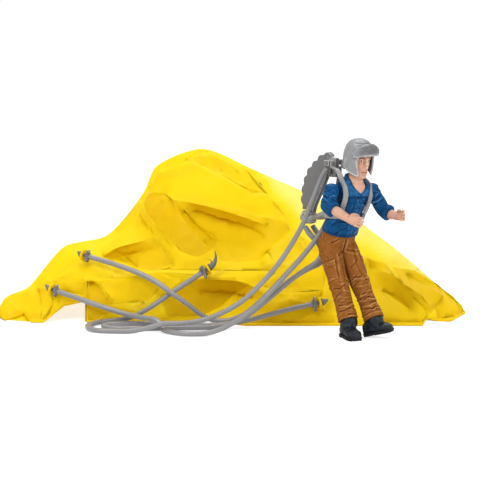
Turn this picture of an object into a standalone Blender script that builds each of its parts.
"""Toy parachute: a crumpled sheet canopy, four flat lines with their clips, the harness pack and the toy
parachutist that wears it.

Metres, +Z up. The origin is at the bottom centre of canopy and figure together, on the surface they stand on.
The canopy lies behind, towards +Y, and the figure stands in front of it, turned towards +X.
"""

import math

import bmesh
import bpy
from mathutils import Matrix, Vector
from mathutils.bvhtree import BVHTree
from mathutils.geometry import delaunay_2d_cdt

# Running clearance between neighbouring pieces, and the overrun of every cutter
GAP = 0.0003
OVERRUN = 0.002

# Canopy: the size of the heap that the sheet makes, and the sheet itself
CANOPY_WIDTH = 0.239
CANOPY_DEPTH = 0.1168
CANOPY_HEIGHT = 0.0815
CANOPY_FRONT = -0.038
CLOTH_THICKNESS = 0.001
HEM_SINK = 0.0009
SMALLEST_STEP = 0.00001

# Lines and their clips
LINE_DIAMETER = 0.0028
CLIP_STAR_RADIUS = 0.0036
CLIP_STAR_THICKNESS = 0.0011
CLIP_STEM_RADIUS = 0.0015
CLIP_WAIST_RADIUS = 0.0010
CLIP_WAIST_LENGTH = 0.0022
CLIP_BARB_RADIUS = 0.0019
CLIP_TAIL_LENGTH = 0.0082
CLIP_PRONG_RADIUS = 0.0008
TAB_RADIUS = 0.0030
TAB_THICKNESS = 0.0008
TAB_WIDTH = 0.0034
TAB_DIRECTIONS = 36

# Figure: its reference point on the floor, the way each part of it faces, and its heights above the floor
FIGURE_X = 0.063
FIGURE_Y = -0.064
BODY_YAW = math.radians(33)
HEAD_YAW = math.radians(41)
PACK_YAW = math.radians(42)
HIP_HEIGHT = 0.0492
HIP_SETBACK = 0.0153
HIP_SHIFT = 0.0025
NECK_HEIGHT = 0.0744
NECK_SETBACK = 0.0057
NECK_SHIFT = 0.0010

# Torso
CHEST_HALF_WIDTH = 0.0093
CHEST_HALF_DEPTH = 0.0069
SHOULDER_HALF_SPAN = 0.0084
SHOULDER_RISE = 0.0216
PEG_RADIUS = 0.0015
PEG_LENGTH = 0.0024
PEG_CLEARANCE = 0.0003

# Arms
SLEEVE_RADIUS = 0.0038
CUFF_RADIUS = 0.0037
FOREARM_RADIUS = 0.0022
HAND_RADIUS = 0.0029

# Legs and boots: each foot has its own place and heading, and the left toe is off the floor
PELVIS_HALF_WIDTH = 0.0090
PELVIS_HALF_DEPTH = 0.0068
LEG_HALF_SPACING = 0.0048
THIGH_RADIUS = 0.0055
ANKLE_HEIGHT = 0.0087
RIGHT_ANKLE = (0.0560, -0.0684)
LEFT_ANKLE = (0.0684, -0.0668)
RIGHT_FOOT_YAW = math.radians(20)
LEFT_FOOT_YAW = math.radians(66)
BOOT_LENGTH = 0.0142
BOOT_HALF_WIDTH = 0.0039
BOOT_HEIGHT = 0.0060
BOOT_SHAFT_RADIUS = 0.0040
LEFT_TOE_LIFT = math.radians(14)

# Head and helmet
HEAD_SETBACK = 0.0040
CHIN_HEIGHT = 0.0750
HEAD_HEIGHT = 0.0178
HEAD_HALF_WIDTH = 0.0060
HEAD_HALF_DEPTH = 0.0067
NECK_RADIUS = 0.0029
HELMET_WALL = 0.0011
HELMET_ROOM = 0.0006
HELMET_DROP = 0.0020
HELMET_RIM_RISE = 0.0046
FACE_OPENING_WIDTH = 0.0118
FACE_OPENING_TOP = 0.0872
VISOR_THICKNESS = 0.0009
NOSE_DEPTH = 0.0017
NOSE_HALF_WIDTH = 0.0013

# Harness pack: its centre on the floor plan, how far back its pieces are, and how far the upper bracket is
# above the neck and the lower one above the hips
PACK_X = 0.0571
PACK_Y = -0.0574
BRACKET_REACH = 0.0114
BRACKET_RISE = 0.0052
BRACKET_DEPTH = 0.0050
BRACKET_TALL = 0.0094
BRACKET_HALF_WIDTH = 0.0013
SLOT_DEPTH = 0.0019
SLOT_TALL = 0.0040
BAR_LENGTH = 0.0100
BAR_THICKNESS = 0.0026
LOWER_BRACKET_REACH = 0.0282
LOWER_BRACKET_RISE = 0.0048
LOWER_BRACKET_DEPTH = 0.0066
LOWER_BRACKET_TALL = 0.0064
LOWER_BRACKET_HALF_WIDTH = 0.0030
FIN_FRONT = 0.0116
FIN_FOOT_DROP = 0.0002
FIN_DEEP = 0.0200
FIN_TALL = 0.0322
FIN_THICKNESS = 0.0026
FIN_SCALLOPS = 8
FIN_SCALLOP_RISE = 0.0012
STRAP_WIDTH = 0.0024
STRAP_THICKNESS = 0.0011
STRAP_STANDOFF = 0.0007
STRAP_ARCH_RISE = 0.0022

# Colours of the moulded and painted surfaces
YELLOW = (0.95, 0.76, 0.02)
GREY = (0.30, 0.30, 0.32)
SILVER = (0.50, 0.51, 0.53)
BLUE = (0.02, 0.10, 0.26)
BROWN = (0.28, 0.13, 0.05)
DARK_LEATHER = (0.02, 0.03, 0.05)
SKIN = (0.75, 0.42, 0.28)

# The sheet is described by points in shares of the canopy's width, depth and height, from its left front
# corner on the floor. The front hem runs from the left end to the right end, and the back hem returns.
FRONT_HEM_SHARES = (
    (0.004, 0.263, 0.0), (0.026, 0.119, 0.0), (0.065, 0.184, 0.020), (0.085, 0.071, 0.0), (0.110, 0.071, 0.0),
    (0.151, 0.140, 0.089), (0.200, 0.123, 0.125), (0.204, 0.060, 0.0), (0.265, 0.086, 0.0),
    (0.352, 0.105, 0.0),
    (0.446, 0.115, 0.0), (0.531, 0.0, 0.0), (0.595, 0.0, 0.0), (0.644, 0.0, 0.0), (0.714, 0.0, 0.0),
    (0.791, 0.0, 0.0), (0.895, 0.0, 0.0), (0.908, 0.140, 0.0), (0.928, 0.108, 0.0), (0.958, 0.096, 0.0),
    (0.998, 0.281, 0.0),
)
BACK_HEM_SHARES = (
    (0.987, 0.491, 0.0), (0.921, 0.667, 0.0), (0.812, 0.860, 0.0), (0.686, 0.995, 0.0),
    (0.552, 0.947, 0.0), (0.410, 0.998, 0.0), (0.285, 0.877, 0.0), (0.176, 0.754, 0.0), (0.100, 0.614, 0.0),
    (0.025, 0.491, 0.0),
)
# The crest, from the left tail over the high dome and down to the right end
CREST_SHARES = (
    (0.018, 0.246, 0.102), (0.028, 0.263, 0.123), (0.063, 0.298, 0.159), (0.079, 0.316, 0.200),
    (0.133, 0.421, 0.383), (0.173, 0.456, 0.421), (0.223, 0.500, 0.445), (0.260, 0.535, 0.535),
    (0.308, 0.561, 0.719), (0.331, 0.579, 0.867), (0.362, 0.588, 0.930), (0.401, 0.588, 0.976),
    (0.438, 0.588, 0.995), (0.477, 0.588, 0.963), (0.536, 0.579, 0.880), (0.606, 0.570, 0.790),
    (0.693, 0.553, 0.676), (0.786, 0.518, 0.519), (0.868, 0.474, 0.345), (0.929, 0.421, 0.195),
    (0.968, 0.342, 0.103), (0.984, 0.298, 0.062),
)
# Each fold is a line of points along which the sheet is creased
FOLD_SHARES = {
    "tail wrinkle": ((0.028, 0.263, 0.123), (0.045, 0.190, 0.070), (0.065, 0.184, 0.020)),
    "tail panel": ((0.079, 0.316, 0.200), (0.095, 0.246, 0.127), (0.110, 0.071, 0.0)),
    "left ridge": ((0.110, 0.250, 0.199), (0.179, 0.285, 0.319)),
    "arch ridge": ((0.110, 0.250, 0.199), (0.160, 0.205, 0.222), (0.227, 0.150, 0.245),
                   (0.330, 0.165, 0.285)),
    "arch": ((0.206, 0.185, 0.215), (0.226, 0.140, 0.200), (0.249, 0.090, 0.160), (0.265, 0.086, 0.0)),
    "left lip": ((0.342, 0.345, 0.470), (0.300, 0.345, 0.440), (0.259, 0.335, 0.410), (0.227, 0.325, 0.364)),
    "left hollow": ((0.330, 0.330, 0.400), (0.285, 0.365, 0.365), (0.245, 0.350, 0.330)),
    "pocket rim": ((0.362, 0.450, 0.730), (0.332, 0.475, 0.712), (0.308, 0.485, 0.665), (0.302, 0.480, 0.605),
                   (0.314, 0.445, 0.535), (0.342, 0.345, 0.470), (0.384, 0.225, 0.320)),
    "pocket bulge": ((0.350, 0.400, 0.690), (0.326, 0.405, 0.645), (0.324, 0.395, 0.590),
                     (0.342, 0.360, 0.530), (0.375, 0.275, 0.440), (0.410, 0.225, 0.370)),
    "pocket right": ((0.372, 0.395, 0.705), (0.404, 0.305, 0.570), (0.441, 0.250, 0.460),
                     (0.466, 0.230, 0.405)),
    "pocket shadow": ((0.400, 0.395, 0.625), (0.440, 0.345, 0.520), (0.478, 0.290, 0.435)),
    "belly fold": ((0.372, 0.395, 0.705), (0.445, 0.345, 0.670), (0.519, 0.325, 0.610),
                   (0.575, 0.350, 0.545)),
    "under belly": ((0.425, 0.410, 0.632), (0.480, 0.405, 0.580), (0.535, 0.380, 0.535),
                    (0.568, 0.345, 0.480)),
    "dome fold": ((0.438, 0.535, 0.938), (0.519, 0.445, 0.788), (0.579, 0.455, 0.727)),
    "shoulder fold": ((0.536, 0.579, 0.880), (0.579, 0.455, 0.727), (0.619, 0.340, 0.570),
                      (0.635, 0.263, 0.435)),
    "lower lip": ((0.330, 0.165, 0.285), (0.415, 0.155, 0.250), (0.450, 0.135, 0.255), (0.519, 0.115, 0.245),
                  (0.554, 0.095, 0.202), (0.595, 0.050, 0.122)),
    "lip hollow": ((0.440, 0.195, 0.165), (0.490, 0.210, 0.160), (0.542, 0.180, 0.130)),
    "middle facet": ((0.565, 0.170, 0.354), (0.617, 0.160, 0.330), (0.648, 0.105, 0.206)),
    "right ridge": ((0.791, 0.290, 0.302), (0.844, 0.215, 0.253), (0.902, 0.135, 0.142),
                    (0.928, 0.108, 0.0)),
    "right pocket": ((0.875, 0.330, 0.235), (0.955, 0.310, 0.120)),
    "right valley": ((0.822, 0.225, 0.160), (0.872, 0.150, 0.075)),
}
# The folds of the back slope, which run down from the crest
BACK_FOLD_SHARES = {
    "tail ridge": ((0.133, 0.421, 0.383), (0.150, 0.540, 0.290), (0.166, 0.640, 0.140), (0.176, 0.754, 0.0)),
    "left ridge": ((0.260, 0.535, 0.535), (0.278, 0.640, 0.455), (0.290, 0.760, 0.275), (0.285, 0.877, 0.0)),
    "left valley": ((0.331, 0.579, 0.867), (0.345, 0.712, 0.715), (0.352, 0.805, 0.430)),
    "dome ridge": ((0.438, 0.588, 0.995), (0.456, 0.690, 0.900), (0.441, 0.815, 0.640), (0.420, 0.920, 0.300),
                   (0.410, 0.998, 0.0)),
    "dome tuck": ((0.456, 0.690, 0.900), (0.506, 0.750, 0.700), (0.560, 0.800, 0.470)),
    "dome valley": ((0.536, 0.579, 0.880), (0.552, 0.706, 0.735), (0.560, 0.800, 0.470),
                    (0.556, 0.888, 0.262), (0.552, 0.947, 0.0)),
    "right ridge": ((0.606, 0.570, 0.790), (0.634, 0.690, 0.690), (0.662, 0.845, 0.410), (0.686, 0.995, 0.0)),
    "right valley": ((0.693, 0.553, 0.676), (0.733, 0.650, 0.510), (0.782, 0.745, 0.300)),
    "end ridge": ((0.786, 0.518, 0.519), (0.838, 0.600, 0.370), (0.884, 0.660, 0.180), (0.921, 0.667, 0.0)),
}
# Points that only round the sheet, with no crease through them
FRONT_SOFT_SHARES = (
    (0.290, 0.100, 0.190), (0.390, 0.470, 0.837), (0.519, 0.500, 0.860), (0.300, 0.430, 0.520),
    (0.542, 0.345, 0.440), (0.515, 0.235, 0.347), (0.707, 0.158, 0.248), (0.681, 0.070, 0.129),
    (0.710, 0.316, 0.468), (0.751, 0.263, 0.339), (0.751, 0.080, 0.140), (0.803, 0.400, 0.383),
    (0.885, 0.380, 0.253), (0.445, 0.400, 0.780), (0.340, 0.500, 0.800),
)
BACK_SOFT_SHARES = (
    (0.085, 0.470, 0.150), (0.222, 0.690, 0.250), (0.372, 0.880, 0.262), (0.395, 0.720, 0.790),
    (0.492, 0.880, 0.375), (0.606, 0.880, 0.300), (0.745, 0.850, 0.215), (0.905, 0.560, 0.185),
)
CLOTH_ROUNDING_SHARE = 0.14

# Routes of the four lines in metres, from the pack to the clip, chosen by hand. Each is named after its clip.
LINE_ROUTES = {
    "c": (
        (0.0463, -0.0517, 0.0796), (0.0441, -0.0510, 0.0757), (0.0414, -0.0503, 0.0690),
        (0.0375, -0.0505, 0.0590), (0.0332, -0.0510, 0.0493), (0.0247, -0.0520, 0.0354),
        (0.0151, -0.0530, 0.0240), (0.0045, -0.0542, 0.0145), (-0.0076, -0.0556, 0.0082),
        (-0.0165, -0.0570, 0.0058), (-0.0245, -0.0580, 0.0050), (-0.0325, -0.0586, 0.0050),
        (-0.0400, -0.0590, 0.0030), (-0.0480, -0.0590, 0.0015), (-0.0580, -0.0585, 0.0014),
        (-0.0655, -0.0560, 0.0014), (-0.0690, -0.0500, 0.0014), (-0.0690, -0.0420, 0.0014),
        (-0.0650, -0.0350, 0.0014), (-0.0580, -0.0325, 0.0018), (-0.0500, -0.0325, 0.0032),
        (-0.0421, -0.0323, 0.0070), (-0.0345, -0.0315, 0.0118), (-0.0270, -0.0302, 0.0169),
        (-0.0205, -0.0288, 0.0210), (-0.0150, -0.0268, 0.0244),
    ),
    "a": (
        (0.0525, -0.0461, 0.0797), (0.0524, -0.0457, 0.0757), (0.0515, -0.0456, 0.0690),
        (0.0500, -0.0464, 0.0610), (0.0470, -0.0470, 0.0540), (0.0430, -0.0475, 0.0468),
        (0.0350, -0.0490, 0.0366), (0.0270, -0.0505, 0.0280), (0.0186, -0.0530, 0.0192),
        (0.0115, -0.0560, 0.0128), (0.0045, -0.0590, 0.0078), (-0.0035, -0.0622, 0.0036),
        (-0.0110, -0.0647, 0.0016), (-0.0180, -0.0658, 0.0014), (-0.0240, -0.0645, 0.0014),
        (-0.0292, -0.0602, 0.0014), (-0.0324, -0.0562, 0.0018), (-0.0350, -0.0524, 0.0045),
        (-0.0380, -0.0484, 0.0054), (-0.0422, -0.0442, 0.0052), (-0.0476, -0.0404, 0.0055),
        (-0.0545, -0.0368, 0.0066), (-0.0640, -0.0330, 0.0089), (-0.0755, -0.0272, 0.0118),
        (-0.0862, -0.0206, 0.0142),
    ),
    "b": (
        (0.0401, -0.0350, 0.0494), (0.0424, -0.0364, 0.0460), (0.0462, -0.0388, 0.0420),
        (0.0478, -0.0402, 0.0372), (0.0440, -0.0410, 0.0320), (0.0370, -0.0412, 0.0285),
        (0.0290, -0.0412, 0.0235), (0.0210, -0.0410, 0.0173), (0.0140, -0.0400, 0.0112),
        (0.0070, -0.0385, 0.0062), (0.0000, -0.0370, 0.0030), (-0.0060, -0.0358, 0.0022),
        (-0.0112, -0.0352, 0.0032), (-0.0160, -0.0350, 0.0061), (-0.0210, -0.0352, 0.0102),
        (-0.0280, -0.0346, 0.0150), (-0.0370, -0.0304, 0.0207), (-0.0470, -0.0232, 0.0245),
        (-0.0600, -0.0144, 0.0276), (-0.0712, -0.0070, 0.0297),
    ),
    "d": (
        (0.0363, -0.0384, 0.0494), (0.0386, -0.0400, 0.0460), (0.0426, -0.0430, 0.0420),
        (0.0446, -0.0447, 0.0376), (0.0418, -0.0454, 0.0332), (0.0359, -0.0462, 0.0292),
        (0.0290, -0.0470, 0.0242), (0.0210, -0.0476, 0.0175), (0.0142, -0.0478, 0.0118),
        (0.0075, -0.0480, 0.0066), (0.0005, -0.0483, 0.0032), (-0.0080, -0.0490, 0.0016),
        (-0.0180, -0.0498, 0.0014), (-0.0300, -0.0505, 0.0014), (-0.0420, -0.0520, 0.0014),
        (-0.0520, -0.0522, 0.0014), (-0.0592, -0.0500, 0.0014), (-0.0618, -0.0450, 0.0014),
        (-0.0588, -0.0402, 0.0014), (-0.0510, -0.0385, 0.0014), (-0.0400, -0.0392, 0.0014),
        (-0.0280, -0.0415, 0.0014), (-0.0160, -0.0430, 0.0014), (-0.0060, -0.0436, 0.0016),
        (0.0030, -0.0434, 0.0030), (0.0115, -0.0434, 0.0046), (0.0215, -0.0420, 0.0072),
        (0.0310, -0.0392, 0.0092), (0.0396, -0.0362, 0.0105),
    ),
}
# Each clip's tail: its length as a share, and the angle through which it turns up. The longest one is forked.
CLIP_TAILS = {"a": (0.34, 0.55), "b": (0.30, 0.30), "c": (1.0, 0.80), "d": (0.36, 0.15)}
CLIP_PRONG_SHARES = (0.46, 1.45)


def clear_scene():
    for obj in list(bpy.data.objects):
        bpy.data.objects.remove(obj, do_unlink=True)


def make_material(name, colour, roughness, metallic=0.0):
    material = bpy.data.materials.new(name)
    material.use_nodes = True
    shader = material.node_tree.nodes["Principled BSDF"]
    shader.inputs["Base Color"].default_value = (*colour, 1.0)
    shader.inputs["Roughness"].default_value = roughness
    shader.inputs["Metallic"].default_value = metallic
    return material


def add_object(name, mesh, material=None):
    obj = bpy.data.objects.new(name, mesh)
    bpy.context.scene.collection.objects.link(obj)
    if material:
        mesh.materials.append(material)
    return obj


def mesh_from(name, build):
    """A new mesh filled by build(bm), with its faces turned outwards and smooth up to a sharp angle."""
    bm = bmesh.new()
    build(bm)
    bmesh.ops.recalc_face_normals(bm, faces=bm.faces)
    mesh = bpy.data.meshes.new(name)
    bm.to_mesh(mesh)
    bm.free()
    mesh.shade_smooth()
    mesh.set_sharp_from_angle(angle=math.radians(40))
    return mesh


def as_cutter(obj):
    obj.hide_render = True
    obj.display_type = "WIRE"
    return obj


def boolean(obj, other, operation):
    modifier = obj.modifiers.new(operation.lower(), "BOOLEAN")
    modifier.operation = operation
    modifier.solver = "EXACT"
    modifier.object = as_cutter(other)


def facing(yaw):
    """Forward and left for something that faces the given way."""
    return Vector((math.sin(yaw), -math.cos(yaw), 0)), Vector((math.cos(yaw), math.sin(yaw), 0))


UP = Vector((0, 0, 1))
FORWARD, LEFT = facing(BODY_YAW)
HEAD_FORWARD, HEAD_LEFT = facing(HEAD_YAW)
PACK_FORWARD, PACK_LEFT = facing(PACK_YAW)


def figure_point(forward, left, up):
    """A point of the figure, measured from its reference point on the floor."""
    return Vector((FIGURE_X, FIGURE_Y, up)) + FORWARD * forward + LEFT * left


HIPS = figure_point(-HIP_SETBACK, -HIP_SHIFT, HIP_HEIGHT)
NECK = figure_point(-NECK_SETBACK, -NECK_SHIFT, NECK_HEIGHT)
TORSO_AXIS = (NECK - HIPS).normalized()
TORSO_LENGTH = (NECK - HIPS).length
TORSO_FRONT = LEFT.cross(TORSO_AXIS).normalized()
TORSO_LEFT = TORSO_AXIS.cross(TORSO_FRONT)


def superellipse(centre, across, along, half_width, half_depth, sides, roundness=2.0):
    """A closed ring of points round centre; roundness 2 is an ellipse and more is squarer."""
    points = []
    for i in range(sides):
        turn = 2 * math.pi * i / sides
        c, s = math.cos(turn), math.sin(turn)
        u = math.copysign(abs(c) ** (2 / roundness), c) * half_width
        v = math.copysign(abs(s) ** (2 / roundness), s) * half_depth
        points.append(centre + across * u + along * v)
    return points


def loft(bm, rings):
    """Skin a row of rings that have equally many points, and close both ends."""
    loops = [[bm.verts.new(p) for p in ring] for ring in rings]
    for low, high in zip(loops, loops[1:]):
        for i in range(len(low)):
            j = (i + 1) % len(low)
            bm.faces.new((low[i], low[j], high[j], high[i]))
    bm.faces.new(reversed(loops[0]))
    bm.faces.new(loops[-1])


def smooth_path(points, steps):
    """Points read from a Catmull-Rom curve through the given ones."""
    ends = [points[0] * 2 - points[1], *points, points[-1] * 2 - points[-2]]
    path = []
    for a, b, c, d in zip(ends, ends[1:], ends[2:], ends[3:]):
        for k in range(steps):
            t = k / steps
            path.append(0.5 * (2 * b + (c - a) * t + (2 * a - 5 * b + 4 * c - d) * t ** 2
                               + (3 * b - a - 3 * c + d) * t ** 3))
    path.append(points[-1].copy())
    return path


def even_path(points, spacing):
    """The smooth curve through the points, read at an even spacing."""
    fine = smooth_path([Vector(p) for p in points], 24)
    lengths = [0.0]
    for a, b in zip(fine, fine[1:]):
        lengths.append(lengths[-1] + (b - a).length)
    count = max(2, round(lengths[-1] / spacing))
    path, k = [], 0
    for i in range(count + 1):
        target = lengths[-1] * i / count
        while k < len(fine) - 2 and lengths[k + 1] < target:
            k += 1
        part = (target - lengths[k]) / (lengths[k + 1] - lengths[k])
        path.append(fine[k].lerp(fine[k + 1], part))
    return path


def tangents(path):
    ends = [path[0], *path, path[-1]]
    return [(after - before).normalized() for before, after in zip(ends, ends[2:])]


def limb_rings(path, sizes, sides, across):
    """Rings square to a path: sizes holds each ring's half sizes across and along."""
    rings = []
    for point, tangent, (half_width, half_depth) in zip(path, tangents(path), sizes):
        along = tangent.cross(across).normalized()
        side = along.cross(tangent).normalized()
        rings.append(superellipse(point, side, along, half_width, half_depth, sides))
    return rings


def add_limb(name, path, sizes, sides, across, material=None):
    rings = limb_rings(path, sizes, sides, across)
    return add_object(name, mesh_from(name, lambda bm: loft(bm, rings)), material)


def add_box(name, centre, axes, sizes, material=None):
    """A box of the given full sizes along three axes."""
    def build(bm):
        bmesh.ops.create_cube(bm, size=1.0)
        turn = Matrix([axis * size for axis, size in zip(axes, sizes)]).transposed().to_4x4()
        bmesh.ops.transform(bm, matrix=Matrix.Translation(centre) @ turn, verts=bm.verts)
    return add_object(name, mesh_from(name, build), material)


def add_cylinder(name, start, end, radius, sides=20, material=None):
    axis = (end - start).normalized()
    across = axis.orthogonal().normalized()
    return add_limb(name, [start, end], [(radius, radius)] * 2, sides, across, material)


def add_band(name, points, normals, width, thickness, material=None):
    """A flat strap along the points, with its flat side facing the normals."""
    rings = []
    for point, tangent, normal in zip(points, tangents(points), normals):
        side = tangent.cross(normal).normalized() * (width / 2)
        out = side.cross(tangent).normalized() * (thickness / 2)
        rings.append([point + side + out, point - side + out, point - side - out, point + side - out])
    return add_object(name, mesh_from(name, lambda bm: loft(bm, rings)), material)


# Canopy


def canopy_point(share):
    across, back, up = share
    return Vector(((across - 0.5) * CANOPY_WIDTH, CANOPY_FRONT + back * CANOPY_DEPTH, up * CANOPY_HEIGHT))


def make_canopy(material):
    """One sheet in two halves that meet at the crest: the front one is triangulated as it is seen from the
    front, between its hem, the crest and the folds, and the back one as it is seen from above."""
    places, index = [], {}

    def add_half(hem, lines, flatten):
        edges = []
        for line in lines:
            for share in line:
                if share not in index:
                    index[share] = len(places)
                    places.append(canopy_point(share))
                    if share[2] == 0:
                        places[-1].z = -HEM_SINK
            edges += [(index[a], index[b]) for a, b in zip(line, line[1:])]
        used = sorted({index[share] for line in lines for share in line})
        local = {i: k for k, i in enumerate(used)}
        found = delaunay_2d_cdt([flatten(places[i]) for i in used], [(local[a], local[b]) for a, b in edges],
                                [[local[index[share]] for share in hem]], 1, SMALLEST_STEP)
        assert len(found[0]) == len(used), "two folds cross"
        return [[used[k] for k in face] for face in found[2]]

    ends = (FRONT_HEM_SHARES[-1:] + CREST_SHARES[-1:], CREST_SHARES[:1] + FRONT_HEM_SHARES[:1])
    front = (FRONT_HEM_SHARES, ends[0], CREST_SHARES, ends[1], *FOLD_SHARES.values(), *zip(FRONT_SOFT_SHARES))
    back_hem = FRONT_HEM_SHARES[-1:] + BACK_HEM_SHARES + FRONT_HEM_SHARES[:1]
    back = (back_hem, ends[0], CREST_SHARES, ends[1], *BACK_FOLD_SHARES.values(),
            *zip(BACK_SOFT_SHARES))
    faces = add_half(FRONT_HEM_SHARES + CREST_SHARES[::-1], front, lambda place: place.xz)
    faces += add_half(CREST_SHARES + back_hem, back, lambda place: place.xy)

    def build(bm):
        verts = [bm.verts.new(place) for place in places]
        for face in faces:
            bm.faces.new([verts[i] for i in face])
        bmesh.ops.recalc_face_normals(bm, faces=bm.faces)
        bmesh.ops.subdivide_edges(bm, edges=bm.edges, cuts=1, smooth=CLOTH_ROUNDING_SHARE, use_grid_fill=True)

    canopy = add_object("canopy", mesh_from("canopy", build), material)
    sheet = canopy.modifiers.new("sheet", "SOLIDIFY")
    sheet.thickness = CLOTH_THICKNESS
    sheet.offset = -1
    floor_size = (CANOPY_WIDTH + OVERRUN * 4, CANOPY_DEPTH + OVERRUN * 4, CANOPY_HEIGHT)
    floor_centre = Vector((0, CANOPY_FRONT + CANOPY_DEPTH / 2, -CANOPY_HEIGHT / 2))
    axes = (Vector((1, 0, 0)), Vector((0, 1, 0)), UP)
    boolean(canopy, add_box("floor_cutter", floor_centre, axes, floor_size), "DIFFERENCE")
    return canopy


# Lines, clips and corner tabs


def make_line(name, route, material):
    curve = bpy.data.curves.new(name, "CURVE")
    curve.dimensions = "3D"
    curve.bevel_depth = LINE_DIAMETER / 2
    curve.bevel_resolution = 2
    curve.use_fill_caps = True
    path = even_path(route, LINE_DIAMETER * 2.5)
    spline = curve.splines.new("POLY")
    spline.points.add(len(path) - 1)
    for point, place in zip(spline.points, path):
        point.co = (*place, 1)
    curve.materials.append(material)
    obj = bpy.data.objects.new(name, curve)
    bpy.context.scene.collection.objects.link(obj)
    return path


def make_clip(key, path, material):
    """A stem, a four-pointed star flange, a waist, a barb and a tail that curves up."""
    axis = (path[-1] - path[-2]).normalized()
    across = axis.cross(UP).normalized()
    rise = across.cross(axis).normalized()
    start = path[-1] + axis * GAP
    stem = CLIP_STAR_THICKNESS * 1.5
    share, turn = CLIP_TAILS[key]
    steps = (
        (0, CLIP_STEM_RADIUS), (stem, CLIP_STEM_RADIUS),
        (stem + CLIP_STAR_THICKNESS, CLIP_STEM_RADIUS),
        (stem + CLIP_STAR_THICKNESS * 1.2, CLIP_WAIST_RADIUS),
        (stem + CLIP_STAR_THICKNESS + CLIP_WAIST_LENGTH, CLIP_WAIST_RADIUS),
        (stem + CLIP_STAR_THICKNESS * 1.3 + CLIP_WAIST_LENGTH, CLIP_BARB_RADIUS),
        (stem + CLIP_STAR_THICKNESS * 2 + CLIP_WAIST_LENGTH, CLIP_BARB_RADIUS * 0.8),
    )
    centres = [start + axis * along for along, _ in steps]
    radii = [radius for _, radius in steps]
    tail_start = centres[-1]

    def tail_point(part, bend):
        reach = CLIP_TAIL_LENGTH * part
        return tail_start + axis * (reach * math.cos(bend)) + rise * (reach * math.sin(bend))

    for i in range(1, 6):
        part = i / 5
        centres.append(tail_point(share * part, turn * part))
        radii.append(CLIP_BARB_RADIUS * (0.72 - (0.50 if share == 1 else 0.20) * part))
    rings = limb_rings(centres, [(r, r) for r in radii], 8, across)
    clip = add_object(f"clip_{key}", mesh_from(f"clip_{key}", lambda bm: loft(bm, rings)), material)

    star_rings = []
    for along in (stem, stem + CLIP_STAR_THICKNESS):
        ring = []
        for i in range(16):
            angle = 2 * math.pi * i / 16
            point_share = 1.0 if i % 4 == 0 else (0.50 if i % 4 == 2 else 0.62)
            radius = CLIP_STAR_RADIUS * point_share
            ring.append(start + axis * along + across * (radius * math.cos(angle))
                        + rise * (radius * math.sin(angle)))
        star_rings.append(ring)
    star = add_object(f"star_{key}", mesh_from(f"star_{key}", lambda bm: loft(bm, star_rings)))
    boolean(clip, star, "UNION")
    if share == 1:
        reach, bend = CLIP_PRONG_SHARES
        prong_path = [tail_start, tail_point(reach / 2, bend * 0.8), tail_point(reach, bend)]
        prong_sizes = [(CLIP_PRONG_RADIUS * r, CLIP_PRONG_RADIUS * r) for r in (1.0, 0.9, 0.6)]
        boolean(clip, add_limb(f"prong_{key}", prong_path, prong_sizes, 8, across), "UNION")
    waist = start + axis * (stem + CLIP_STAR_THICKNESS + CLIP_WAIST_LENGTH / 2)
    return waist, axis, across, rise


def make_tab(key, waist, axis, across, rise, surface, material):
    """A cloth eyelet on the clip's waist, with a tongue that runs in its own plane to the nearest sheet."""
    half = axis * (TAB_THICKNESS / 2)
    tab = add_cylinder(f"corner_tab_{key}", waist - half, waist + half, TAB_RADIUS, 16, material)
    reached = []
    for i in range(TAB_DIRECTIONS):
        angle = 2 * math.pi * i / TAB_DIRECTIONS
        way = across * math.cos(angle) + rise * math.sin(angle)
        distance = surface.ray_cast(waist, way)[3]
        if distance:
            reached.append((distance, i, way))
    distance, _, way = min(reached)
    length = distance - GAP * 2
    side = axis.cross(way)
    tongue = add_box(f"tongue_{key}", waist + way * (length / 2), (way, side, axis),
                     (length, TAB_WIDTH, TAB_THICKNESS))
    boolean(tab, tongue, "UNION")
    hole_radius = CLIP_WAIST_RADIUS + GAP * 1.4
    hole = add_cylinder(f"eyelet_{key}", waist - half * 3, waist + half * 3, hole_radius, 12)
    boolean(tab, hole, "DIFFERENCE")


# Figure

# Torso rings from hem to collar: shares of torso length, chest half width and chest half depth
TORSO_SHARES = (
    (0.0, 1.02, 1.00), (0.06, 1.04, 1.02), (0.20, 0.98, 0.97), (0.36, 0.93, 0.92), (0.52, 0.98, 0.97),
    (0.70, 1.03, 1.02), (0.84, 0.98, 0.96), (0.93, 0.80, 0.80), (0.985, 0.60, 0.64), (1.0, 0.46, 0.54),
)


def torso_point(share, angle, offset=0.0):
    """A point on the torso at a share of its length and an angle from the front towards the left, and the
    outward direction there."""
    for low, high in zip(TORSO_SHARES, TORSO_SHARES[1:]):
        if share <= high[0]:
            break
    part = min(1.0, max(0.0, (share - low[0]) / (high[0] - low[0])))
    half_width = (low[1] + (high[1] - low[1]) * part) * CHEST_HALF_WIDTH
    half_depth = (low[2] + (high[2] - low[2]) * part) * CHEST_HALF_DEPTH
    centre = HIPS + TORSO_AXIS * (share * TORSO_LENGTH)
    flare = (high[1] - low[1]) * CHEST_HALF_WIDTH / ((high[0] - low[0]) * TORSO_LENGTH)
    out = TORSO_FRONT * (math.cos(angle) / half_depth) + TORSO_LEFT * (math.sin(angle) / half_width)
    out.normalize()
    out = (out - TORSO_AXIS * flare).normalized()
    on = centre + TORSO_FRONT * (half_depth * math.cos(angle)) + TORSO_LEFT * (half_width * math.sin(angle))
    return on + out * offset, out


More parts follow.
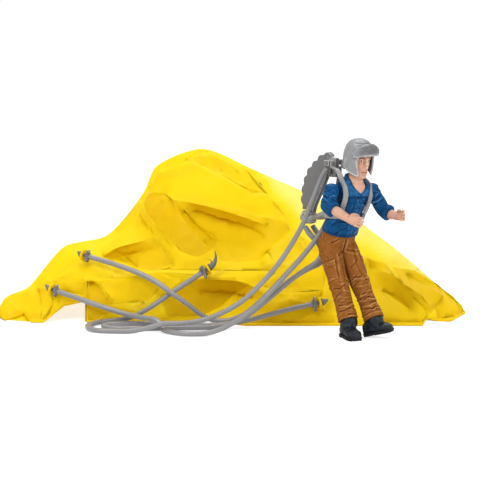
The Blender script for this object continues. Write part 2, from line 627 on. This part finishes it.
def make_torso(material):
    rings = [superellipse(HIPS + TORSO_AXIS * (share * TORSO_LENGTH), TORSO_LEFT, TORSO_FRONT,
                          wide * CHEST_HALF_WIDTH, deep * CHEST_HALF_DEPTH, 24)
             for share, wide, deep in TORSO_SHARES]
    torso = add_object("torso", mesh_from("torso", lambda bm: loft(bm, rings)), material)
    for side, label in ((-1, "right"), (1, "left")):
        shoulder = shoulder_point(side)
        face = shoulder - TORSO_LEFT * (side * GAP)
        outer = face + TORSO_LEFT * (side * (SLEEVE_RADIUS + OVERRUN))
        room = add_cylinder(f"{label}_arm_room", face, outer, SLEEVE_RADIUS + GAP + OVERRUN)
        boolean(torso, room, "DIFFERENCE")
        deep = shoulder - TORSO_LEFT * (side * (PEG_LENGTH + PEG_CLEARANCE))
        boolean(torso, add_cylinder(f"{label}_socket", deep, outer, PEG_RADIUS + PEG_CLEARANCE), "DIFFERENCE")
    return torso


def shoulder_point(side):
    """The centre of the flat face where an arm meets the torso; side is -1 on the right and 1 on the left."""
    return HIPS + TORSO_AXIS * SHOULDER_RISE + TORSO_LEFT * (side * SHOULDER_HALF_SPAN)


# Elbow, cuff, wrist and knuckles of each arm, in shares of the sleeve's radius from the shoulder's face:
# forwards, outwards and up
ARM_SHARES = {
    "right": {"elbow": (-0.20, 1.45, -2.45), "cuff": (0.80, 1.15, -2.95), "wrist": (2.10, 0.0, -3.75),
              "knuckles": (2.75, -0.95, -4.05)},
    "left": {"elbow": (0.25, 2.75, -2.55), "cuff": (1.15, 2.95, -2.85), "wrist": (2.75, 3.10, -3.05),
             "knuckles": (3.75, 3.00, -2.85)},
}


def make_arm(label, side, sleeve_material, hand_material):
    shoulder = shoulder_point(side)
    outward = TORSO_LEFT * side
    hub = bpy.data.objects.new(f"{label}_shoulder", None)
    hub.location = shoulder
    bpy.context.scene.collection.objects.link(hub)
    r = SLEEVE_RADIUS

    def place(share):
        forward, out, up = share
        return (FORWARD * forward + outward * out + UP * up) * r

    spots = {key: place(share) for key, share in ARM_SHARES[label].items()}
    core = outward * (r * 0.95)
    top = UP * (r * 0.55)
    elbow, cuff = spots["elbow"], spots["cuff"]
    path = [core + top * 1.72, core + top * 1.45, core + top, core, core.lerp(elbow, 0.55), elbow, cuff]
    radii = [0.30 * r, 0.68 * r, 0.90 * r, r * 0.95, 0.93 * r, 0.90 * r, CUFF_RADIUS * 0.93]
    sleeve = add_limb(f"{label}_sleeve", path, [(x, x) for x in radii], 14, FORWARD, sleeve_material)
    trim = add_box(f"{label}_sleeve_trim", outward * -(r / 2), (outward, TORSO_FRONT, TORSO_AXIS),
                   (r, r * 6, r * 8))
    boolean(sleeve, trim, "DIFFERENCE")
    peg = add_cylinder(f"{label}_peg", core, outward * -PEG_LENGTH, PEG_RADIUS)
    boolean(sleeve, peg, "UNION")

    wrist, knuckles = spots["wrist"], spots["knuckles"]
    bend = (cuff - elbow).normalized()
    start = cuff + bend * GAP
    palm = (knuckles - wrist).normalized()
    path = [start, start + bend * (r * 0.34), start.lerp(wrist, 0.70), wrist, wrist.lerp(knuckles, 0.45),
            knuckles, knuckles + palm * (HAND_RADIUS * 0.55), knuckles + palm * (HAND_RADIUS * 0.80)]
    f, h = FOREARM_RADIUS, HAND_RADIUS
    sizes = [(f, f), (f * 1.1, f * 1.1), (f * 0.88, f * 0.92), (f * 0.92, f * 1.0), (h * 0.72, h * 0.98),
             (h * 0.82, h * 1.0), (h * 0.70, h * 0.86), (h * 0.35, h * 0.45)]
    hand = add_limb(f"{label}_hand", path, sizes, 12, UP, hand_material)
    thumb_root = wrist.lerp(knuckles, 0.35) + UP * (h * 0.6)
    thumb_path = [thumb_root, thumb_root + palm * (h * 0.5) + UP * (h * 0.45),
                  thumb_root + palm * (h * 1.15) + UP * (h * 0.50),
                  thumb_root + palm * (h * 1.45) + UP * (h * 0.40)]
    thumb = add_limb(f"{label}_thumb", thumb_path, [(h * 0.34, h * 0.34)] * 2 + [(h * 0.32, h * 0.32)]
                     + [(h * 0.16, h * 0.16)], 8, outward)
    boolean(hand, thumb, "UNION")
    for obj in (sleeve, trim, peg, hand, thumb):
        obj.parent = hub


# Leg rings from hip to hem, as shares of the leg's length and of the thigh's radius
LEG_SHARES = (
    (-0.10, 0.72), (0.0, 0.90), (0.12, 0.98), (0.28, 0.92), (0.42, 0.84), (0.52, 0.87), (0.66, 0.79),
    (0.82, 0.78),
    (0.94, 0.86), (1.0, 0.84),
)


def leg_ends(side):
    """The middle of the thigh's top and of the trouser hem; side is -1 on the right and 1 on the left."""
    waist = HIPS - TORSO_AXIS * GAP
    hip = waist - TORSO_AXIS * (PELVIS_HALF_DEPTH * 0.95) + LEFT * (side * LEG_HALF_SPACING)
    return hip, Vector((*(LEFT_ANKLE if side > 0 else RIGHT_ANKLE), ANKLE_HEIGHT))


def make_trousers(material):
    """Hips and two legs in one piece."""
    waist = HIPS - TORSO_AXIS * GAP
    drop = HIP_HEIGHT - ANKLE_HEIGHT
    stations = ((0.0, 0.94), (0.05, 0.98), (0.16, 1.0), (0.24, 0.86), (0.29, 0.55))
    rings = [superellipse(waist - TORSO_AXIS * (share * drop), TORSO_LEFT, TORSO_FRONT,
                          wide * PELVIS_HALF_WIDTH, min(1.0, wide * 1.05) * PELVIS_HALF_DEPTH, 20)
             for share, wide in stations]
    trousers = add_object("trousers", mesh_from("trousers", lambda bm: loft(bm, rings)), material)
    for side, label in ((-1, "right"), (1, "left")):
        hip, ankle = leg_ends(side)
        path = [hip.lerp(ankle, share) for share, _ in LEG_SHARES]
        sizes = [(r * THIGH_RADIUS, r * THIGH_RADIUS * 1.04) for _, r in LEG_SHARES]
        boolean(trousers, add_limb(f"{label}_leg", path, sizes, 16, LEFT), "UNION")
    return trousers


# Boot rings from heel to toe: shares of the boot's length behind or before the ankle, half width and height
BOOT_SHARES = (
    (-0.30, 0.55, 0.80), (-0.27, 0.78, 1.0), (-0.10, 0.86, 1.15), (0.10, 0.90, 1.10), (0.30, 0.96, 0.92),
    (0.50, 1.0, 0.78), (0.62, 0.86, 0.66), (0.70, 0.50, 0.48),
)
SOLE_SHARE = 0.16


def make_boot(label, side, material):
    """A flat-soled foot and a short shaft that ends below the trouser leg."""
    hip, ankle = leg_ends(side)
    lift = LEFT_TOE_LIFT if side > 0 else 0.0
    heading, across = facing(LEFT_FOOT_YAW if side > 0 else RIGHT_FOOT_YAW)
    toe = heading * math.cos(lift) + UP * math.sin(lift)
    rise = toe.cross(across)
    ground = Vector((ankle.x, ankle.y, -toe.z * BOOT_SHARES[0][0] * BOOT_LENGTH))
    sole = SOLE_SHARE * BOOT_HEIGHT
    rings = []
    for along, wide, tall in BOOT_SHARES:
        half_height = tall * BOOT_HEIGHT / 2
        flat = ground + toe * (along * BOOT_LENGTH)
        centre = flat + rise * half_height
        ring = superellipse(centre, across, rise, wide * BOOT_HALF_WIDTH, half_height, 16, 3.0)
        for point in ring:
            height = (point - flat).dot(rise)
            if height < sole:
                point -= rise * height
        rings.append(ring)
    boot = add_object(f"{label}_boot", mesh_from(f"{label}_boot", lambda bm: loft(bm, rings)), material)
    leg = (ankle - hip).normalized()
    top = ankle + leg * GAP
    base = ground + rise * (BOOT_HEIGHT * 0.45)
    over = top - leg * OVERRUN
    r = BOOT_SHAFT_RADIUS
    shaft_sizes = [(r * 0.85, r * 0.95), (r, r), (r, r)]
    shaft = add_limb(f"{label}_shaft", [base, base.lerp(over, 0.5), over], shaft_sizes, 14, across)
    boolean(boot, shaft, "UNION")
    beside = leg.orthogonal().normalized()
    room = add_box(f"{label}_leg_room", top - leg * (BOOT_HEIGHT / 2), (leg, beside, leg.cross(beside)),
                   (BOOT_HEIGHT, BOOT_LENGTH, BOOT_LENGTH))
    boolean(boot, room, "DIFFERENCE")


# Head rings from chin to crown: shares of head height, half width, depth forwards and depth backwards
HEAD_SHARES = (
    (0.0, 0.34, 0.55, 0.10), (0.05, 0.52, 0.78, 0.30), (0.14, 0.72, 0.84, 0.60), (0.24, 0.84, 0.86, 0.80),
    (0.36, 0.92, 0.88, 0.92), (0.48, 0.97, 0.86, 0.98), (0.60, 1.0, 0.92, 1.0), (0.74, 0.97, 0.88, 0.98),
    (0.86, 0.82, 0.70, 0.84), (0.95, 0.52, 0.44, 0.54), (1.0, 0.20, 0.16, 0.20),
)
# The nose: shares of head height, of its depth and of its width
NOSE_SHARES = (
    (0.27, 0.30, 0.30), (0.31, 1.0, 0.95), (0.36, 0.85, 0.75), (0.47, 0.30, 0.42), (0.53, 0.05, 0.35),
)


def head_base():
    return figure_point(-HEAD_SETBACK, 0, CHIN_HEIGHT)


def make_head(material):
    front, left = HEAD_FORWARD, HEAD_LEFT
    base = head_base()
    rings = []
    for up, wide, fore, aft in HEAD_SHARES:
        centre = base + UP * (up * HEAD_HEIGHT)
        ring = superellipse(centre, left, front, wide * HEAD_HALF_WIDTH, HEAD_HALF_DEPTH, 20, 2.2)
        for point in ring:
            depth = (point - centre).dot(front)
            point += front * (depth * (fore if depth > 0 else aft) - depth)
        rings.append(ring)
    head = add_object("head", mesh_from("head", lambda bm: loft(bm, rings)), material)
    rings = []
    for up, deep, wide in NOSE_SHARES:
        centre = base + UP * (up * HEAD_HEIGHT) + front * (HEAD_HALF_DEPTH * 0.84)
        rings.append(superellipse(centre, left, front, wide * NOSE_HALF_WIDTH, deep * NOSE_DEPTH, 10))
    boolean(head, add_object("nose", mesh_from("nose", lambda bm: loft(bm, rings))), "UNION")
    foot = NECK + TORSO_AXIS * GAP
    top = base + UP * (HEAD_HEIGHT * 0.35)
    path = [foot, foot.lerp(top, 0.5), top]
    r = NECK_RADIUS
    boolean(head, add_limb("neck", path, [(r * 1.05, r * 1.05), (r, r), (r, r)], 14, LEFT), "UNION")
    collar_centre = foot - TORSO_AXIS * (NECK_RADIUS / 2)
    collar = add_box("collar_room", collar_centre, (TORSO_LEFT, TORSO_FRONT, TORSO_AXIS),
                     (NECK_RADIUS * 4, NECK_RADIUS * 4, NECK_RADIUS))
    boolean(head, collar, "DIFFERENCE")


# The helmet's dome from crown to rim, as shares of its height and radius
DOME_SHARES = (
    (1.0, 0.16), (0.98, 0.36), (0.93, 0.59), (0.84, 0.80), (0.73, 0.92), (0.58, 0.99), (0.42, 1.0),
    (0.26, 0.99), (0.12, 0.95), (0.0, 0.90),
)


def dome_ring(share, radius_share, grow, sides=28):
    """A ring of the dome, grown outwards; near the rim its back rises."""
    centre = head_base() + UP * (HELMET_DROP + share * (HEAD_HEIGHT - HELMET_DROP) + grow * share)
    half_depth = radius_share * (HEAD_HALF_DEPTH + grow)
    ring = superellipse(centre, HEAD_LEFT, HEAD_FORWARD, radius_share * (HEAD_HALF_WIDTH + grow), half_depth,
                        sides, 2.2)
    for point in ring:
        back = max(0.0, -(point - centre).dot(HEAD_FORWARD) / half_depth)
        point += UP * (HELMET_RIM_RISE * back * max(0.0, 1 - share * 1.8) ** 2)
    return ring


def make_helmet(material):
    inner = HELMET_ROOM
    outer = HELMET_ROOM + HELMET_WALL
    shell_rings = [dome_ring(share, r, outer) for share, r in DOME_SHARES]
    helmet = add_object("helmet", mesh_from("helmet", lambda bm: loft(bm, shell_rings)), material)
    room_rings = [dome_ring(share, r, inner) for share, r in DOME_SHARES]
    room_rings.append([point - UP * OVERRUN for point in room_rings[-1]])
    room = add_object("head_room", mesh_from("head_room", lambda bm: loft(bm, room_rings)))
    boolean(helmet, room, "DIFFERENCE")
    low = CHIN_HEIGHT + HELMET_DROP - OVERRUN
    centre = head_base() + HEAD_FORWARD * HEAD_HALF_DEPTH
    centre.z = (low + FACE_OPENING_TOP) / 2
    sizes = (FACE_OPENING_WIDTH, HEAD_HALF_DEPTH * 1.7, FACE_OPENING_TOP - low)
    opening = add_box("face_opening", centre, (HEAD_LEFT, HEAD_FORWARD, UP), sizes)
    rounding = opening.modifiers.new("rounding", "BEVEL")
    rounding.width = FACE_OPENING_WIDTH / 5
    rounding.segments = 2
    boolean(helmet, opening, "DIFFERENCE")


VISOR_SPAN = math.radians(58)
VISOR_SHARES = (0.60, 0.68, 0.76, 0.84)


def dome_radius(share):
    for high, low in zip(DOME_SHARES, DOME_SHARES[1:]):
        if share >= low[0]:
            return low[1] + (high[1] - low[1]) * (share - low[0]) / (high[0] - low[0])
    return DOME_SHARES[-1][1]


def make_visor(material):
    """A curved shield pushed up on the brow of the helmet."""
    columns = 12
    layers = []
    for grow in (HELMET_ROOM + HELMET_WALL + GAP * 2, HELMET_ROOM + HELMET_WALL + GAP * 2 + VISOR_THICKNESS):
        grid = []
        for share in VISOR_SHARES:
            base = head_base() + UP * (HELMET_DROP + share * (HEAD_HEIGHT - HELMET_DROP) + grow * share)
            r = dome_radius(share)
            row = []
            for i in range(columns + 1):
                turn = VISOR_SPAN * (2 * i / columns - 1)
                row.append(base + HEAD_LEFT * (math.sin(turn) * r * (HEAD_HALF_WIDTH + grow))
                           + HEAD_FORWARD * (math.cos(turn) * r * (HEAD_HALF_DEPTH + grow)))
            grid.append(row)
        layers.append(grid)

    def build(bm):
        inner, outer = ([[bm.verts.new(p) for p in row] for row in grid] for grid in layers)
        for grid in (inner, outer):
            for low, high in zip(grid, grid[1:]):
                for i in range(columns):
                    bm.faces.new((low[i], low[i + 1], high[i + 1], high[i]))
        rim = [(0, i) for i in range(columns)] + [(j, columns) for j in range(len(VISOR_SHARES) - 1)]
        rim += [(len(VISOR_SHARES) - 1, i) for i in range(columns, 0, -1)]
        rim += [(j, 0) for j in range(len(VISOR_SHARES) - 1, 0, -1)]
        for (a, b), (c, d) in zip(rim, rim[1:] + rim[:1]):
            bm.faces.new((inner[a][b], inner[c][d], outer[c][d], outer[a][b]))

    add_object("visor", mesh_from("visor", build), material)


# Harness pack


def pack_point(back, left, up):
    return Vector((PACK_X, PACK_Y, up)) - PACK_FORWARD * back + PACK_LEFT * left


PACK_AXES = (-PACK_FORWARD, PACK_LEFT, UP)
UPPER_BRACKET = pack_point(BRACKET_REACH, 0, NECK_HEIGHT + BRACKET_RISE)
CROSSBAR = UPPER_BRACKET + UP * (BRACKET_TALL / 2 - BAR_THICKNESS * 0.9)
LOWER_BRACKET = pack_point(LOWER_BRACKET_REACH, 0, HIP_HEIGHT + LOWER_BRACKET_RISE)


def make_upper_bracket(material):
    """A slotted block with a crossbar, where the two upper lines start."""
    sizes = (BRACKET_DEPTH, BRACKET_HALF_WIDTH * 2, BRACKET_TALL)
    bracket = add_box("upper_bracket", UPPER_BRACKET, PACK_AXES, sizes, material)
    bar = add_box("crossbar", CROSSBAR, PACK_AXES, (BAR_THICKNESS * 1.3, BAR_LENGTH, BAR_THICKNESS))
    boolean(bracket, bar, "UNION")
    slot = add_box("bracket_slot", UPPER_BRACKET - UP * (BRACKET_TALL * 0.16), PACK_AXES,
                   (SLOT_DEPTH, BRACKET_HALF_WIDTH * 2 + OVERRUN, SLOT_TALL))
    boolean(bracket, slot, "DIFFERENCE")


def make_lower_bracket(material):
    """A block low behind the back, where the two lower lines start."""
    sizes = (LOWER_BRACKET_DEPTH, LOWER_BRACKET_HALF_WIDTH * 2, LOWER_BRACKET_TALL)
    bracket = add_box("lower_bracket", LOWER_BRACKET, PACK_AXES, sizes, material)
    rounding = bracket.modifiers.new("rounding", "BEVEL")
    rounding.width = LOWER_BRACKET_TALL / 6
    rounding.segments = 1


# The fin's outer and inner edges from top to foot, in shares of its depth and height
FIN_OUTER_SHARES = (
    (0.02, 0.985), (0.26, 0.975), (0.51, 0.875), (0.80, 0.70), (0.945, 0.50), (1.0, 0.30), (0.96, 0.14),
    (0.84, 0.05),
)
FIN_INNER_SHARES = ((0.66, 0.06), (0.58, 0.20), (0.36, 0.43), (0.20, 0.62), (0.08, 0.80), (0.0, 0.86))


def make_fin(material):
    """The scalloped crescent that joins the two brackets behind the back."""
    foot = LOWER_BRACKET.z - FIN_FOOT_DROP

    def fin_point(share):
        return pack_point(FIN_FRONT + share[0] * FIN_DEEP, 0, foot + share[1] * FIN_TALL)

    edge = smooth_path([fin_point(share) for share in FIN_OUTER_SHARES], 12)
    fine = even_path(edge, FIN_TALL / 40)
    per_scallop = (len(fine) - 1) / FIN_SCALLOPS
    outline = []
    for i, (point, tangent) in enumerate(zip(fine, tangents(fine))):
        out = PACK_LEFT.cross(tangent)
        outline.append(point + out * (FIN_SCALLOP_RISE * abs(math.sin(math.pi * i / per_scallop))))
    outline += [fin_point(share) for share in FIN_INNER_SHARES]

    def ring(side):
        shift = PACK_LEFT * (side * FIN_THICKNESS / 2)
        return [point + shift for point in outline]

    fin = add_object("pack_fin", mesh_from("pack_fin", lambda bm: loft(bm, [ring(-1), ring(1)])), material)
    room = GAP * 2
    upper_sizes = (BRACKET_DEPTH + room, BRACKET_HALF_WIDTH * 4, BRACKET_TALL + room)
    boolean(fin, add_box("upper_room", UPPER_BRACKET, PACK_AXES, upper_sizes), "DIFFERENCE")
    bar_sizes = (BAR_THICKNESS * 1.3 + room, BAR_LENGTH, BAR_THICKNESS + room)
    boolean(fin, add_box("bar_room", CROSSBAR, PACK_AXES, bar_sizes), "DIFFERENCE")
    lower_sizes = (LOWER_BRACKET_DEPTH + room, LOWER_BRACKET_HALF_WIDTH * 4, LOWER_BRACKET_TALL + room)
    boolean(fin, add_box("lower_room", LOWER_BRACKET, PACK_AXES, lower_sizes), "DIFFERENCE")


# Each strap in shares of torso length, and degrees from the front: the shoulder strap runs up the chest and
# over the shoulder, and the waist strap runs back under the arm
SHOULDER_STRAP_SHARES = ((0.47, 48), (0.60, 46), (0.72, 45), (0.84, 48), (0.925, 60), (0.975, 84))
WAIST_STRAP_SHARES = ((0.33, 54), (0.30, 72), (0.28, 92), (0.27, 112), (0.27, 130))


def make_straps(side, label, material):
    offset = STRAP_STANDOFF + STRAP_THICKNESS / 2

    def band(name, shares, ends):
        pairs = [torso_point(share, side * math.radians(turn), offset) for share, turn in shares] + ends
        path = smooth_path([point for point, _ in pairs], 3)
        facing_out = [normal.normalized() for normal in smooth_path([normal for _, normal in pairs], 3)]
        add_band(f"{label}_{name}", path, facing_out, STRAP_WIDTH, STRAP_THICKNESS, material)

    bar_front = BAR_THICKNESS * 0.65 + GAP * 3 + STRAP_THICKNESS / 2
    bar_side = side * (BAR_LENGTH / 2 - STRAP_WIDTH / 2)
    bar_end = CROSSBAR + PACK_FORWARD * bar_front + PACK_LEFT * bar_side
    last_share, last_turn = SHOULDER_STRAP_SHARES[-1]
    over = torso_point(last_share, side * math.radians(last_turn), offset)[0]
    arch = over.lerp(bar_end, 0.5) + UP * (STRAP_ARCH_RISE / 2)
    band("shoulder_strap", SHOULDER_STRAP_SHARES, [
        (arch, (UP + PACK_FORWARD * 0.2).normalized()),
        (bar_end - UP * STRAP_ARCH_RISE, PACK_FORWARD),
        (bar_end + UP * (BAR_THICKNESS / 2), PACK_FORWARD),
    ])

    bracket_side = side * (LOWER_BRACKET_HALF_WIDTH + GAP * 2 + STRAP_THICKNESS / 2)
    bracket_face = LOWER_BRACKET + PACK_LEFT * bracket_side
    reach = PACK_FORWARD * (LOWER_BRACKET_DEPTH / 2)
    band("waist_strap", WAIST_STRAP_SHARES, [
        (bracket_face + reach * 1.6, PACK_LEFT * side),
        (bracket_face - reach * 0.4, PACK_LEFT * side),
    ])


clear_scene()
sheet_yellow = make_material("sheet_yellow", YELLOW, 0.45)
moulded_grey = make_material("moulded_grey", GREY, 0.42)

canopy_object = make_canopy(sheet_yellow)
sheet_surface = BVHTree.FromObject(canopy_object, bpy.context.evaluated_depsgraph_get())
for line_key, line_route in LINE_ROUTES.items():
    line_path = make_line(f"line_{line_key}", line_route, make_material(f"line_{line_key}", GREY, 0.42))
    clip_place = make_clip(line_key, line_path, make_material(f"clip_{line_key}", GREY, 0.40))
    make_tab(line_key, *clip_place, sheet_surface, sheet_yellow)

make_torso(make_material("shirt_blue", BLUE, 0.62))
for arm_label, arm_side in (("right", -1), ("left", 1)):
    make_arm(arm_label, arm_side, make_material(f"{arm_label}_sleeve_blue", BLUE, 0.62),
             make_material(f"{arm_label}_hand_skin", SKIN, 0.55))
    make_boot(arm_label, arm_side, make_material(f"{arm_label}_boot_leather", DARK_LEATHER, 0.50))
    make_straps(arm_side, arm_label, moulded_grey)
make_trousers(make_material("trouser_brown", BROWN, 0.65))
make_head(make_material("head_skin", SKIN, 0.55))
make_helmet(make_material("helmet_silver", SILVER, 0.38, 0.3))
make_visor(make_material("visor_silver", SILVER, 0.30, 0.3))
make_upper_bracket(moulded_grey)
make_lower_bracket(moulded_grey)
make_fin(moulded_grey)
